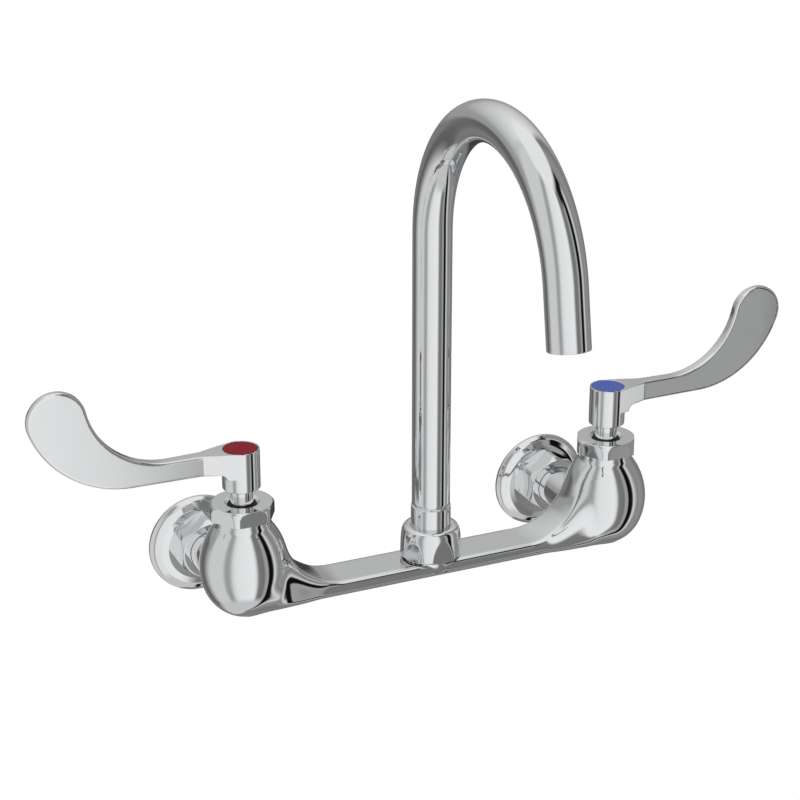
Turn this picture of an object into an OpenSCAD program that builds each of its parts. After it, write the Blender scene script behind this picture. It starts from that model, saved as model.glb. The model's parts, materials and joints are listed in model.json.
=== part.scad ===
// Commercial wall faucet with two wrist blade handles and a swivelling gooseneck spout.
// All sizes are millimetres. The wall is the plane Y = 0 and the faucet stands out from it
// towards -Y. Z = 0 is the height of the two supply inlets. Hot is at -X and cold at +X.

/* [Whole faucet] */
// Distance between the hot and the cold valve axis
centres = 203.2; // [195:0.2:215]
// Distance from the wall to the valve and spout axes
wall_to_axis = 74; // [72:0.5:80]
// Height of the union axis above the middle of the wall flange
inlet_offset = 4.3; // [0:0.1:4.3]

/* [Valve bulbs] */
// Widest radius of a bulb
bulb_r = 22.1; // [20.5:0.1:24]
// Height of the widest ring of a bulb
bulb_z = 20; // [18:0.5:23]
// Radius of the side of a bulb above its widest ring
bulb_upper_arc_r = 35; // [32:0.5:40]
// Radius of the side of a bulb below its widest ring
bulb_lower_arc_r = 34; // [30:0.5:38]
// Radius at which the bottom cap of a bulb begins
bulb_cap_edge_r = 11.8; // [9:0.1:13]
// Radius of curvature of the bottom cap
bulb_cap_arc_r = 30; // [24:1:50]
// Radius of the neck under the bonnet nut
neck_r = 13.6; // [13.2:0.1:14.4]
// Height of the neck
neck_h = 3.9; // [2:0.1:6]
// Radius of the thread on the neck
neck_thread_r = 12.8; // [12.3:0.1:13.1]
// Height of the thread on the neck
neck_thread_h = 2.3; // [2:0.1:4]

/* [Cross bar] */
// Half of the depth of the bar from front to back
bar_half_depth = 12.9; // [11.5:0.1:14]
// Height of the flat top of the bar
bar_top_z = 5.5; // [4:0.1:6]
// Radius of the two long edges of the bar
bar_edge_r = 3.6; // [2.8:0.1:4]
// Radius of the shallow belly under the bar
bar_belly_r = 17.5; // [16:0.5:30]
// Wall over the water passage in the bar
bar_wall = 2.2; // [1.5:0.1:2.6]
// Height of the water passage in the bar
bar_passage_h = 4.4; // [3:0.1:5]
// Width of the water passage in the bar
bar_passage_w = 15; // [10:0.5:18]

/* [Webs] */
// Radius of the hollow curve on top of the flare between a bulb and the bar
web_curve_r = 44; // [38:0.5:50]
// Half of the depth of the flare from front to back
web_half_depth = 12.4; // [11.5:0.1:12.8]
// Radius of the rounded sides of the flare
web_side_r = 9; // [8:0.1:10]
// Distance from the valve axis at which the flare lies level with the bar
web_run = 54.5; // [50:0.5:60]
// Depth of the end of the flare under the flat top of the bar
web_sink = 0.3; // [0.2:0.1:1]

/* [Spout boss] */
// Radius of the boss under the spout nut
boss_r = 12.7; // [12.5:0.1:13.5]
// Height of the top of the boss
boss_top_z = 6.5; // [6:0.1:8]
// Radius of the thread on the boss
boss_thread_r = 12.2; // [11.9:0.1:12.5]
// Height of the thread on the boss
boss_thread_h = 9; // [7.5:0.1:10]
// Running clearance between the collar and the boss
collar_clearance = 0.08; // [0.03:0.01:0.1]

/* [Cartridge] */
// Radius of the cartridge shell
shell_r = 10.5; // [10:0.1:11]
// Clearance between the shell and the body
shell_clearance = 0.05; // [0.02:0.01:0.1]
// Length of the chamber below the flange of the shell
chamber_depth = 27; // [26:0.5:28]
// Radius of the ring channel round the shell
channel_r = 13; // [12.4:0.1:14]
// Radius of the flange of the shell
shell_flange_r = 12; // [11.6:0.1:12.2]
// Thickness of the flange of the shell
shell_flange_t = 2.5; // [2:0.1:3.5]
// Radius of the stem
stem_r = 5.7; // [5:0.1:6]
// Running clearance round the stem
stem_clearance = 0.05; // [0.02:0.01:0.1]
// Thickness of each ceramic disc
disc_t = 3; // [2.5:0.1:3.2]
// Radius of the ports in the fixed disc
disc_port_r = 2.4; // [1.8:0.1:2.5]
// Radius of the water bore in the shank
inlet_bore_r = 5.2; // [4.5:0.1:5.2]
// Radius of the slanted port from a bulb to the bar
slant_port_r = 3.2; // [2.5:0.1:3.4]

/* [Bonnet nut] */
// Size of the bonnet nut across its flats
bonnet_af = 29.8; // [29:0.1:32]
// Radius of the rounded corners of the bonnet nut
bonnet_corner_r = 16.5; // [16:0.1:17.2]
// Height of the bonnet nut
bonnet_h = 7.6; // [7:0.1:9]
// Radius of the opening in the lip of the bonnet nut
bonnet_hole_r = 7; // [6.8:0.05:7.6]

/* [Handles] */
// Length of stem that shows between the nut and the hub
stem_show = 7.5; // [5:0.1:10]
// Radius of the hub
hub_r = 9.35; // [9.2:0.05:10.5]
// Height of the hub
hub_h = 20.6; // [20:0.1:24]
// Height of the arm where it leaves the hub
arm_h = 10.3; // [9:0.1:12]
// Thickness of the arm beside the hub
arm_t = 8; // [7:0.1:9]
// Distance from the stem axis at which the flare of the hub ends
arm_flare_end = 20; // [17:0.5:24]
// Thickness of the paddle at its tip
paddle_t = 3.8; // [3:0.1:6]
// Distance from the stem axis to the middle of the paddle tip
tip_run = 88.8; // [80:0.1:110]
// Height of the middle of the paddle tip above the underside of the arm
tip_rise = 38.9; // [34:0.1:46]
// Radius of the paddle tip
tip_r = 14.2; // [12:0.1:15]
// Radius of the long curve under the paddle
blade_under_arc_r = 49.9; // [47:0.1:58]
// Radius of the curve above the paddle
blade_over_arc_r = 38.6; // [33:0.1:43]
// Radius of the fillet between the arm and the hub
arm_fillet_r = 3; // [1.5:0.1:5]
// Radius of the index button
index_r = 8.36; // [7.8:0.01:8.6]
// Thickness of the index button
index_t = 1.2; // [0.8:0.1:1.6]

/* [Spout] */
// Outer radius of the spout tube
tube_r = 9.75; // [9.5:0.05:9.9]
// Inner radius of the spout tube
tube_bore_r = 8.55; // [8.2:0.05:8.7]
// Radius of the bend of the gooseneck
gooseneck_r = 67.1; // [55:0.5:80]
// Height at which the bend begins
gooseneck_z = 179; // [140:1:210]
// Angle of the bend
gooseneck_angle = 170.4; // [160:0.1:178]
// Length of the straight end of the spout
spout_end_len = 27.4; // [20:0.1:45]
// Outer radius of the collar
collar_r = 10.2; // [10:0.05:10.4]
// Height of the top of the collar
collar_top_z = 33.7; // [30:0.1:40]
// Radius of the water bore in the collar
collar_bore_r = 7; // [6:0.1:7.4]

/* [Spout nut] */
// Size of the spout nut across its flats
spout_nut_af = 30.4; // [30:0.1:32]
// Radius of the rounded corners of the spout nut
spout_nut_corner_r = 16.3; // [15.9:0.1:17]
// Height of the spout nut
spout_nut_h = 16.3; // [15.5:0.1:18]
// Thickness of the lip of the spout nut
spout_nut_lip = 4.7; // [3:0.1:5]

/* [Unions and flanges] */
// Size of a union nut across its flats
union_af = 29.8; // [29.4:0.1:32]
// Radius of the rounded corners of a union nut
union_corner_r = 16.6; // [16:0.1:17.2]
// Length of a union nut
union_len = 16; // [14.5:0.1:18]
// Thickness of the lip of a union nut
union_lip = 4; // [3:0.1:4.5]
// Radius of an inlet shank
shank_r = 11; // [10.4:0.1:11.5]
// Radius of the male thread on a wall flange
flange_thread_r = 13.2; // [12.6:0.1:13.4]
// Length of the male thread on a wall flange
flange_thread_len = 3.7; // [3:0.1:4.5]
// Thickness of a union washer
union_washer_t = 1.8; // [1.4:0.1:2.5]
// Radius of the rim of a wall flange
flange_r = 26.9; // [24:0.1:32]
// Thickness of the rim of a wall flange
flange_rim_t = 1.9; // [1.5:0.1:2.5]
// Radius of the raised face of a wall flange
flange_face_r = 18; // [17.8:0.1:19]
// Height of the raised face of a wall flange above the wall
flange_face_h = 6.5; // [6:0.1:8]
// Radius of the pipe thread in the back of a wall flange
pipe_thread_r = 9.6; // [9.5:0.05:10.4]
// Depth of the pipe thread in the back of a wall flange
pipe_thread_len = 5.5; // [4.5:0.1:5.5]

/* [Hidden] */
$fn = 96;

// Overrun of a cut past the face that it opens
cut = 1;
// Clearance between the two sides of a thread
thread_clearance = 0.05;
// Clearance between pieces that are pressed or laid together
seat_clearance = 0.05;
// Play of a ring in its groove
groove_play = 0.1;
// Width of the slot in a split ring
ring_slot = 2.5;
// Number of straight steps in a drawn arc
arc_steps = 12;

// Heights of the valve, from the bulb upwards
neck_z = bulb_z + sqrt(pow(bulb_upper_arc_r, 2) - pow(bulb_upper_arc_r - bulb_r + neck_r, 2));
bonnet_z = neck_z + neck_h;
flange_seat_z = bonnet_z + neck_thread_h;
bonnet_top_z = bonnet_z + bonnet_h;
lip_z = flange_seat_z + shell_flange_t;
chamber_floor_z = flange_seat_z - chamber_depth;
cap_edge_z = bulb_z
    - sqrt(pow(bulb_lower_arc_r, 2) - pow(bulb_lower_arc_r - bulb_r + bulb_cap_edge_r, 2));
cap_arc_z = cap_edge_z + sqrt(pow(bulb_cap_arc_r, 2) - pow(bulb_cap_edge_r, 2));

// Ring channel round the shell, and the hollow seat post that stands in it
channel_rise = 14;
channel_top_z = chamber_floor_z + channel_rise;
channel_drop = 5;
seat_post_r = 8.5;
seat_hole_extra = 0.3;
seat_hole_r = inlet_bore_r + seat_hole_extra;

// Seal and discs, stacked on the seat post
seal_h = 2.5;
seal_inset = 0.1;
seal_r = seat_post_r - seal_inset;
seal_hole_r = 6.6;
fixed_disc_z = chamber_floor_z + seal_h;
moving_disc_z = fixed_disc_z + disc_t;
disc_gap = 0.05;
disc_play = 0.35;
port_margin = 0.3;

// Driver at the foot of the stem, with the key that turns the moving disc
driver_z = moving_disc_z + disc_t;
driver_t = 2.5;
driver_inset = 1;
driver_key_h = 1;
driver_key_l = 12;
driver_key_w = 2.4;

// Cartridge shell, its disc cavity, water windows and nose
shell_wall = 1.05;
cavity_r = shell_r - shell_wall;
cavity_top_z = driver_z + driver_t;
shell_foot_gap = 2;
shell_bottom_z = chamber_floor_z + shell_foot_gap;
window_rise = 0.5;
window_h = 4;
window_w = 8;
nose_clearance = 0.25;
shell_nose_r = bonnet_hole_r - nose_clearance;
glide_t = 1.4;
glide_sink = 0.4;
glide_z = bonnet_top_z - glide_sink - glide_t;

// Ring seals of the cartridge and of the stem
oring_section_r = 0.75;
gasket_section_r = 0.9;
gasket_drop = 3;
gasket_z = flange_seat_z - gasket_drop;
stem_oring_drops = [9, 5];
stem_oring_zs = [for (drop = stem_oring_drops) flange_seat_z - drop];

// Rounded top edge of the bonnet nut: its height, and the height of the bend halfway
bonnet_edge_h = 3.5;
bonnet_edge_mid = 1.2;

// Dished top of the bonnet nut round its opening
bonnet_dish_w = 1.85;
bonnet_dish_h = 1;

// Hub of the handle, and the end of the stem in it
hub_z = bonnet_top_z + stem_show;
hub_top_z = hub_z + hub_h;
arm_z = hub_top_z - arm_h;
tip_z = arm_z + tip_rise;
stem_sink = 0.6;
shoulder_z = hub_z + stem_sink;
spline_r = 4;
spline_h = 11.8;
spline_top_z = shoulder_z + spline_h;
spline_gap = 0.2;

// Screw that holds the handle on the stem, and the well for its head
hub_web_t = 2;
head_seat_z = spline_top_z + spline_gap + hub_web_t;
screw_r = 2.1;
screw_hole_clearance = 0.1;
screw_hole_r = screw_r + screw_hole_clearance;
screw_into_stem = 8.3;
tap_run_out = 0.5;
head_r = 3.8;
head_h = 2.7;
head_clearance = 0.8;
head_well_r = head_r + head_clearance;
key_socket_af = 3;
key_socket_h = 1.6;

// Index button, with the plug that holds it in the well
index_z = hub_top_z - index_t;
index_plug_h = 1.7;

// Heights of the spout stack
boss_thread_top_z = boss_top_z + boss_thread_h;
spout_nut_top_z = boss_top_z + spout_nut_h;
spout_lip_z = spout_nut_top_z - spout_nut_lip;
spout_washer_t = 0.7;
spout_washer_inset = 0.1;
collar_drop = 4;
collar_bottom_z = boss_top_z - collar_drop;
collar_foot_gap = 0.5;
socket_rise = 1.9;
socket_z = spout_lip_z + socket_rise;
spigot_step = 0.55;
spigot_r = tube_r - spigot_step;
spout_oring_rises = [-0.5, 4.5];
spout_oring_zs = [for (rise = spout_oring_rises) boss_top_z + rise];

// Split ring that keeps the spout from lifting out
retaining_ring_t = 1.4;
retaining_ring_lift = 0.4;
retaining_ring_z = boss_thread_top_z + retaining_ring_lift;
retaining_ring_inset = 0.4;
retaining_ring_r = boss_thread_r - retaining_ring_inset;
retaining_groove_depth = 0.8;
retaining_groove_r = collar_r - retaining_groove_depth;

// Dome of the spout nut: how far each point lies inside the corners, and below the top
dome_points = [[0, 13.8], [0.2, 10.6], [0.7, 6.8], [1.1, 4.6], [1.5, 2.6], [2.4, 0.7], [4.3, 0]];
spout_nut_chamfer = 1.2;

// Wall side, as distances in front of the wall
flange_thread_end = flange_face_h + flange_thread_len;
shank_end = flange_thread_end + union_washer_t;
union_front = flange_face_h + union_len;
union_lip_back = union_front - union_lip;
union_washer_inset = 0.3;
union_ring_t = 1.4;
union_ring_r = flange_thread_r;
union_groove_depth = 1.1;
union_groove_r = shank_r - union_groove_depth;
union_chamfer = 1.6;
flange_slope = 3.5;
flange_slope_drop = 0.6;
flange_shoulder = 1.7;
flange_shoulder_h = 2.1;

// Distance from the valve axis at which the shank begins inside the bulb
shank_start = 7.4;

// Water passage of the bar, and how far short of the end of the flare it stops
passage_top_z = bar_top_z - bar_wall;
passage_mid_z = passage_top_z - bar_passage_h / 2;
passage_inset = 24.5;
passage_run = web_run - passage_inset;

function arc(centre, r, from, to, steps = arc_steps) =
    [for (i = [0 : steps]) let (a = from + (to - from) * i / steps)
        [centre[0] + r * cos(a), centre[1] + r * sin(a)]];
function angle_to(from, to) = atan2(to[1] - from[1], to[0] - from[0]);

// Places the pieces of one valve. Inside, +X points to the middle of the faucet.
module at_hot() translate([-centres / 2, -wall_to_axis, 0]) children();
module at_cold() translate([centres / 2, -wall_to_axis, 0]) mirror([1, 0, 0]) children();

// Places the pieces at one wall flange. Inside, +Z is the distance in front of the wall and +Y is up.
module at_hot_wall() translate([-centres / 2, 0, 0]) rotate([90, 0, 0]) children();
module at_cold_wall() translate([centres / 2, 0, 0]) rotate([90, 0, 0]) children();

// A round disc or pin between two heights
module disc(r, from, to) translate([0, 0, from]) cylinder(r = r, h = to - from);

// A flat ring between two heights
module ring(r_out, r_in, from, to) {
    difference() {
        disc(r_out, from, to);
        disc(r_in, from - cut, to + cut);
    }
}

// A ring with a slot, so that it can be sprung over a groove
module split_ring(r_out, r_in, from, to) {
    difference() {
        ring(r_out, r_in, from, to);
        translate([r_in - cut, -ring_slot / 2, from - cut])
            cube([r_out - r_in + 2 * cut, ring_slot, to - from + 2 * cut]);
    }
}

// A round ring seal whose outer edge has radius r_out
module oring(r_out, section_r, z)
    translate([0, 0, z]) rotate_extrude() translate([r_out - section_r, 0]) circle(r = section_r);

// A hexagonal block inside a turned outline, with its flats square to Y
module turned_hexagon(af, outline, h) {
    intersection() {
        cylinder(r = af / 2 / cos(30), h = h, $fn = 6);
        rotate_extrude() polygon(outline);
    }
}

// One bulb with its neck and the thread on it
module bulb() {
    upper = [bulb_r - bulb_upper_arc_r, bulb_z];
    lower = [bulb_r - bulb_lower_arc_r, bulb_z];
    cap = [0, cap_arc_z];
    edge = [bulb_cap_edge_r, cap_edge_z];
    rotate_extrude() polygon(concat(
        arc(cap, bulb_cap_arc_r, -90, angle_to(cap, edge), 4),
        arc(lower, bulb_lower_arc_r, angle_to(lower, edge), 0),
        arc(upper, bulb_upper_arc_r, 0, angle_to(upper, [neck_r, neck_z])),
        [[neck_r, bonnet_z], [0, bonnet_z]]));
    disc(neck_thread_r, bonnet_z - cut, flange_seat_z);
}

// The flare that carries a bulb's inner side down into the bar
module web() {
    web_arc_z = bar_top_z - web_sink + web_curve_r;
    flat = web_half_depth - web_side_r;
    intersection() {
        translate([web_run, 0, web_arc_z]) rotate([-90, 0, 0]) rotate([0, 0, 90])
            rotate_extrude(angle = 90) translate([web_curve_r + web_side_r, 0]) {
                square([2 * web_side_r, 2 * flat], center = true);
                for (side = [-flat, flat]) translate([0, side]) circle(r = web_side_r);
            }
        translate([0, -bulb_r, bar_top_z - bar_edge_r])
            cube([web_run, 2 * bulb_r, neck_z - bar_top_z + bar_edge_r]);
    }
}

// The shank that leads from the wall flange into a bulb
module shank() {
    translate([0, 0, inlet_offset]) rotate([-90, 0, 0]) difference() {
        disc(shank_r, shank_start, wall_to_axis - shank_end);
        ring_z = wall_to_axis - union_lip_back;
        ring(shank_r + cut, union_groove_r, ring_z - groove_play, ring_z + union_ring_t + groove_play);
    }
}

// Water ways of one valve: inlet bore, seat hole, chamber, ring channel and slanted port
module valve_waterways() {
    translate([0, 0, inlet_offset]) rotate([-90, 0, 0])
        disc(inlet_bore_r, 0, wall_to_axis - shank_end + cut);
    disc(seat_hole_r, inlet_offset, chamber_floor_z + cut);
    disc(shell_r + shell_clearance, chamber_floor_z, flange_seat_z + cut);
    ring(channel_r, seat_post_r, chamber_floor_z - channel_drop, channel_top_z);
    port_from = [(seat_post_r + channel_r) / 2, chamber_floor_z - channel_drop / 2];
    port_to = [passage_run + slant_port_r, passage_mid_z];
    translate([port_from[0], 0, port_from[1]]) rotate([0, 90 - angle_to(port_from, port_to), 0])
        cylinder(r = slant_port_r, h = norm(port_to - port_from));
}

// The flattened bar between the two valves
module cross_bar() {
    edge = [bar_half_depth - bar_edge_r, bar_top_z - bar_edge_r];
    belly = [0, edge[1] + sqrt(pow(bar_belly_r - bar_edge_r, 2) - pow(edge[0], 2))];
    turn = angle_to(belly, edge);
    right = concat(arc(belly, bar_belly_r, -90, turn, 6), arc(edge, bar_edge_r, turn, 90, 8));
    left = [for (i = [len(right) - 1 : -1 : 1]) [-right[i][0], right[i][1]]];
    translate([-centres / 2, -wall_to_axis, 0]) rotate([90, 0, 90])
        linear_extrude(centres) polygon(concat(right, left));
}

module bar_passage() {
    side = bar_passage_w / 2 - bar_passage_h / 2;
    length = centres - 2 * passage_run;
    translate([-length / 2, -wall_to_axis, passage_mid_z]) rotate([90, 0, 90]) linear_extrude(length) {
        square([2 * side, bar_passage_h], center = true);
        for (y = [-side, side]) translate([y, 0]) circle(d = bar_passage_h);
    }
}

module spout_boss() {
    translate([0, -wall_to_axis, 0]) {
        disc(boss_r, passage_mid_z, boss_top_z);
        disc(boss_thread_r, boss_top_z - cut, boss_thread_top_z);
    }
}

module spout_boss_bore()
    translate([0, -wall_to_axis, 0])
        disc(collar_r + collar_clearance, collar_bottom_z - collar_foot_gap, boss_thread_top_z + cut);

module valve_body() {
    color("silver") difference() {
        union() {
            cross_bar();
            spout_boss();
            at_hot() { bulb(); web(); shank(); }
            at_cold() { bulb(); web(); shank(); }
        }
        bar_passage();
        spout_boss_bore();
        at_hot() valve_waterways();
        at_cold() valve_waterways();
    }
}

// Round wall flange. The pipe thread is in the middle, and the male thread is offset upwards.
module wall_flange() {
    color("silver") difference() {
        union() {
            rotate_extrude() polygon([[0, 0], [flange_r, 0], [flange_r, flange_rim_t],
                [flange_r - flange_shoulder, flange_rim_t + flange_shoulder_h],
                [flange_face_r + flange_slope, flange_face_h - flange_slope_drop],
                [flange_face_r, flange_face_h], [0, flange_face_h]]);
            translate([0, inlet_offset, 0]) disc(flange_thread_r, flange_rim_t, flange_thread_end);
        }
        disc(pipe_thread_r, -cut, pipe_thread_len);
        translate([0, inlet_offset, 0]) disc(inlet_bore_r, pipe_thread_len - cut, flange_thread_end + cut);
    }
}

// Union nut, kept on the shank by its front lip and screwed onto the wall flange
module union_nut() {
    color("silver") translate([0, inlet_offset, flange_face_h]) difference() {
        rotate([0, 0, 30]) turned_hexagon(union_af, [[0, 0],
            [union_corner_r - union_chamfer / 2, 0], [union_corner_r, union_chamfer],
            [union_corner_r, union_len - 2 * union_chamfer],
            [union_af / 2, union_len], [0, union_len]], union_len);
        disc(flange_thread_r + thread_clearance, -cut, union_len - union_lip);
        disc(shank_r + 2 * seat_clearance, -cut, union_len + cut);
    }
}

module union_ring()
    color("gold") translate([0, inlet_offset, 0])
        split_ring(union_ring_r, union_groove_r, union_lip_back - union_ring_t, union_lip_back);

module union_washer()
    color("dimgray") translate([0, inlet_offset, 0])
        ring(flange_thread_r - union_washer_inset, inlet_bore_r, flange_thread_end, shank_end);

// Bonnet nut, which clamps the flange of the cartridge shell onto the neck
module bonnet_nut() {
    outline = [[0, 0], [bonnet_corner_r, 0], [bonnet_corner_r, bonnet_h - bonnet_edge_h],
        [(bonnet_corner_r + bonnet_af / 2) / 2 + bonnet_edge_mid / 4, bonnet_h - bonnet_edge_mid],
        [bonnet_af / 2, bonnet_h], [0, bonnet_h]];
    color("silver") difference() {
        translate([0, 0, bonnet_z]) turned_hexagon(bonnet_af, outline, bonnet_h);
        disc(neck_thread_r + thread_clearance, bonnet_z - cut, lip_z);
        disc(bonnet_hole_r, bonnet_z, bonnet_top_z + cut);
        translate([0, 0, bonnet_top_z - bonnet_dish_h]) cylinder(r1 = bonnet_hole_r,
            r2 = bonnet_hole_r + bonnet_dish_w * (1 + cut / bonnet_dish_h), h = bonnet_dish_h + cut);
    }
}

module cartridge_shell() {
    color("goldenrod") difference() {
        union() {
            disc(shell_r, shell_bottom_z, flange_seat_z);
            disc(shell_flange_r, flange_seat_z, lip_z);
            disc(shell_nose_r, lip_z, glide_z);
        }
        disc(stem_r + stem_clearance, shell_bottom_z, glide_z + cut);
        disc(cavity_r, shell_bottom_z - cut, cavity_top_z);
        for (side = [-1, 1])
            translate([side * shell_r - window_w / 2, -window_w / 2, moving_disc_z + window_rise])
                cube([window_w, window_w, window_h]);
        ring(shell_r + cut, shell_r - 2 * gasket_section_r - seat_clearance,
            gasket_z - gasket_section_r - groove_play, gasket_z + gasket_section_r + groove_play);
    }
}

module shell_gasket() color("dimgray") oring(shell_r + shell_clearance / 2, gasket_section_r, gasket_z);

module glide_ring()
    color("black") ring(bonnet_hole_r - seat_clearance, stem_r + stem_clearance, glide_z, glide_z + glide_t);

module fixed_disc() {
    port_run = seal_hole_r - disc_port_r - port_margin;
    color("white") difference() {
        disc(cavity_r - seat_clearance, fixed_disc_z, moving_disc_z - disc_gap);
        for (side = [-1, 1]) translate([0, side * port_run, 0])
            disc(disc_port_r, fixed_disc_z - cut, moving_disc_z + cut);
    }
}

module seat_seal() color("dimgray") ring(seal_r, seal_hole_r, chamber_floor_z, fixed_disc_z);

// Turning disc. Its two notches are closed at rest, and meet the fixed ports after a quarter turn.
module moving_disc() {
    disc_r = cavity_r - disc_play;
    notch_from = seal_hole_r - 2 * disc_port_r - port_margin;
    color("white") difference() {
        disc(disc_r, moving_disc_z, driver_z);
        for (side = [0, 180]) rotate([0, 0, side])
            translate([notch_from, -disc_port_r, moving_disc_z - cut])
                cube([disc_r, 2 * disc_port_r, disc_t / 2 + cut]);
        slot = [driver_key_w + 2 * seat_clearance, driver_key_l + 2 * seat_clearance, driver_key_h + cut];
        translate([-slot[0] / 2, -slot[1] / 2, driver_z - driver_key_h])
            cube(slot);
    }
}

module cartridge_stem() {
    groove_h = oring_section_r + groove_play;
    color("silver") difference() {
        union() {
            translate([-driver_key_w / 2, -driver_key_l / 2, driver_z - driver_key_h + seat_clearance])
                cube([driver_key_w, driver_key_l, driver_key_h]);
            disc(cavity_r - driver_inset, driver_z, cavity_top_z - seat_clearance);
            disc(stem_r, driver_z, shoulder_z);
            disc(spline_r, shoulder_z - cut, spline_top_z);
        }
        for (z = stem_oring_zs)
            ring(stem_r + cut, stem_r - 2 * oring_section_r - seat_clearance, z - groove_h, z + groove_h);
        disc(screw_r + seat_clearance, spline_top_z - screw_into_stem - tap_run_out, spline_top_z + cut);
    }
}

module stem_orings()
    color("dimgray") for (z = stem_oring_zs) oring(stem_r + stem_clearance / 2, oring_section_r, z);

// Side outline of the arm and the paddle, outwards along +X: a long curve under the blade,
// the round tip, and a tighter curve above it that runs into the level top of the arm
function blade_outline() =
    let (tip = [tip_run, tip_z],
         under_z = arm_z + blade_under_arc_r,
         over_z = hub_top_z + blade_over_arc_r,
         under = [tip_run - sqrt(pow(blade_under_arc_r - tip_r, 2) - pow(tip_z - under_z, 2)), under_z],
         over = [tip_run - sqrt(pow(blade_over_arc_r + tip_r, 2) - pow(tip_z - over_z, 2)), over_z],
         under_end = angle_to(under, tip),
         over_end = angle_to(over, tip))
    concat(arc(under, blade_under_arc_r, -90, under_end),
        arc(tip, tip_r, under_end, 180 + over_end),
        arc(over, blade_over_arc_r, over_end, -90));

// Top outline of the arm: tangent to the hub, a crease, then a slow taper to the tip
function arm_plan() =
    let (reach = tip_run + tip_r + cut,
         crease = [arm_flare_end, arm_t / 2],
         at = angle_to([0, 0], crease) + acos(hub_r / norm(crease)),
         half = [hub_r * [cos(at), sin(at)], crease, [reach, paddle_t / 2]])
    concat([[0, -hub_r / 2]], [for (p = half) [p[0], -p[1]]],
        [for (i = [len(half) - 1 : -1 : 0]) half[i]], [[0, hub_r / 2]]);

module blade() {
    fillet = [hub_r + arm_fillet_r, arm_z - arm_fillet_r];
    intersection() {
        rotate([90, 0, 0]) linear_extrude(2 * hub_r, center = true)
            polygon(concat([[0, hub_top_z], [0, arm_z - arm_fillet_r]],
                arc(fillet, arm_fillet_r, 180, 90, 5), blade_outline()));
        translate([0, 0, hub_z]) linear_extrude(tip_z + tip_r) polygon(arm_plan());
    }
}

module handle(colour) {
    color(colour) difference() {
        union() {
            disc(hub_r, hub_z, hub_top_z);
            mirror([1, 0, 0]) blade();
        }
        disc(stem_r + seat_clearance, hub_z - cut, shoulder_z);
        disc(spline_r + seat_clearance, hub_z, spline_top_z + spline_gap);
        disc(screw_hole_r, hub_z, hub_top_z);
        disc(head_well_r, head_seat_z, hub_top_z);
        disc(index_r + seat_clearance, index_z, hub_top_z + cut);
    }
}

module handle_screw() {
    color("lightgray") difference() {
        union() {
            disc(screw_r, spline_top_z - screw_into_stem, head_seat_z + cut);
            disc(head_r, head_seat_z, head_seat_z + head_h);
        }
        translate([0, 0, head_seat_z + head_h - key_socket_h])
            cylinder(r = key_socket_af / 2 / cos(30), h = key_socket_h + cut, $fn = 6);
    }
}

module index_button(colour) {
    color(colour) {
        disc(index_r, index_z, hub_top_z);
        disc(head_well_r - seat_clearance, index_z - index_plug_h, index_z + index_t / 2);
    }
}

// Domed nut that holds the spout in its boss
module spout_nut() {
    outline = concat(
        [[0, 0], [spout_nut_corner_r - spout_nut_chamfer, 0], [spout_nut_corner_r, spout_nut_chamfer]],
        [for (point = dome_points) [spout_nut_corner_r - point[0], spout_nut_h - point[1]]],
        [[0, spout_nut_h]]);
    color("silver") translate([0, -wall_to_axis, boss_top_z]) difference() {
        turned_hexagon(spout_nut_af, outline, spout_nut_h);
        disc(boss_thread_r + thread_clearance, -cut, spout_nut_h - spout_nut_lip);
        disc(collar_r + collar_clearance, -cut, spout_nut_h + cut);
    }
}

module spout_washer()
    color("white") translate([0, -wall_to_axis, 0])
        ring(boss_thread_r - spout_washer_inset, collar_r + collar_clearance,
            spout_lip_z - spout_washer_t, spout_lip_z);

module spout_collar() {
    groove_h = gasket_section_r + groove_play;
    color("silver") translate([0, -wall_to_axis, 0]) difference() {
        disc(collar_r, collar_bottom_z, collar_top_z);
        disc(collar_bore_r, collar_bottom_z - cut, socket_z + cut);
        disc(spigot_r + seat_clearance, socket_z, collar_top_z + cut);
        for (z = spout_oring_zs)
            ring(collar_r + cut, collar_r - 2 * gasket_section_r - seat_clearance,
                z - groove_h, z + groove_h);
        ring(collar_r + cut, retaining_groove_r, retaining_ring_z - groove_play,
            retaining_ring_z + retaining_ring_t + groove_play);
    }
}

module spout_orings()
    color("dimgray") translate([0, -wall_to_axis, 0])
        for (z = spout_oring_zs) oring(collar_r + collar_clearance / 2, gasket_section_r, z);

module spout_retaining_ring()
    color("lightgray") translate([0, -wall_to_axis, 0])
        split_ring(retaining_ring_r, retaining_groove_r,
            retaining_ring_z, retaining_ring_z + retaining_ring_t);

// Gooseneck: a spigot in the collar, the riser, the bend and the straight cut end
module gooseneck_tube() {
    color("silver") translate([0, -wall_to_axis, 0]) {
        ring(spigot_r, tube_bore_r, socket_z, collar_top_z + cut);
        ring(tube_r, tube_bore_r, collar_top_z, gooseneck_z);
        translate([0, -gooseneck_r, gooseneck_z]) rotate([90, 0, 90]) {
            rotate_extrude(angle = gooseneck_angle) translate([gooseneck_r, 0]) difference() {
                circle(r = tube_r);
                circle(r = tube_bore_r);
            }
            rotate([0, 0, gooseneck_angle]) translate([gooseneck_r, 0, 0]) rotate([-90, 0, 0])
                ring(tube_r, tube_bore_r, 0, spout_end_len);
        }
    }
}

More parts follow.
